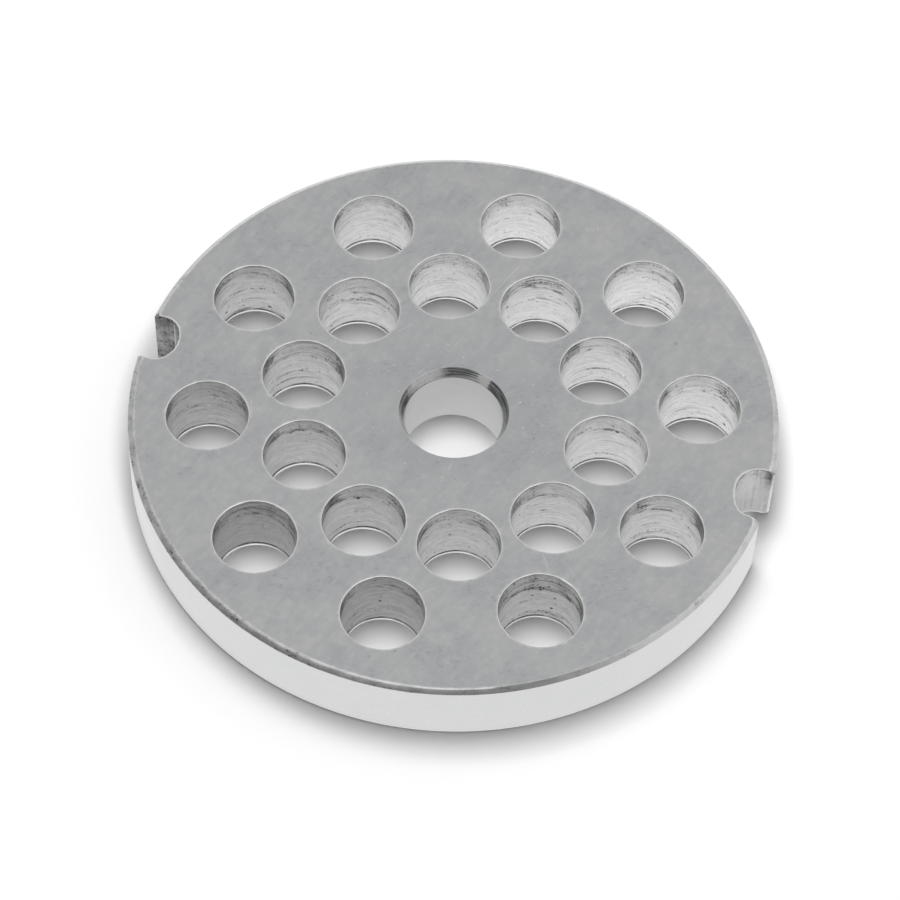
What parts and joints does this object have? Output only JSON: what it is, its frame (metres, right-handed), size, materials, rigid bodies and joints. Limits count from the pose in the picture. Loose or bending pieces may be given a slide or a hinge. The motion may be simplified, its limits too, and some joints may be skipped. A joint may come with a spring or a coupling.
{
  "type": "meat grinder plate",
  "caption": "Round perforated steel disc with a central pin bore, two staggered rings of food holes and opposed rim notches, through which a grinder presses meat.",
  "frame": {"origin": "middle of the lower face, on the axis of the plate", "axes": "+Z along the axis, out of the countersunk face that the knife runs on; +X through the middle of one rim notch, with the other notch on -X"},
  "size_m": [0.0618, 0.062, 0.0072],
  "materials": {
    "plate_steel": "ground faces, turned rim, drilled holes"
  },
  "bodies": {
    "root": {"grinder_plate": "plate_steel"}
  },
  "joints": []
}
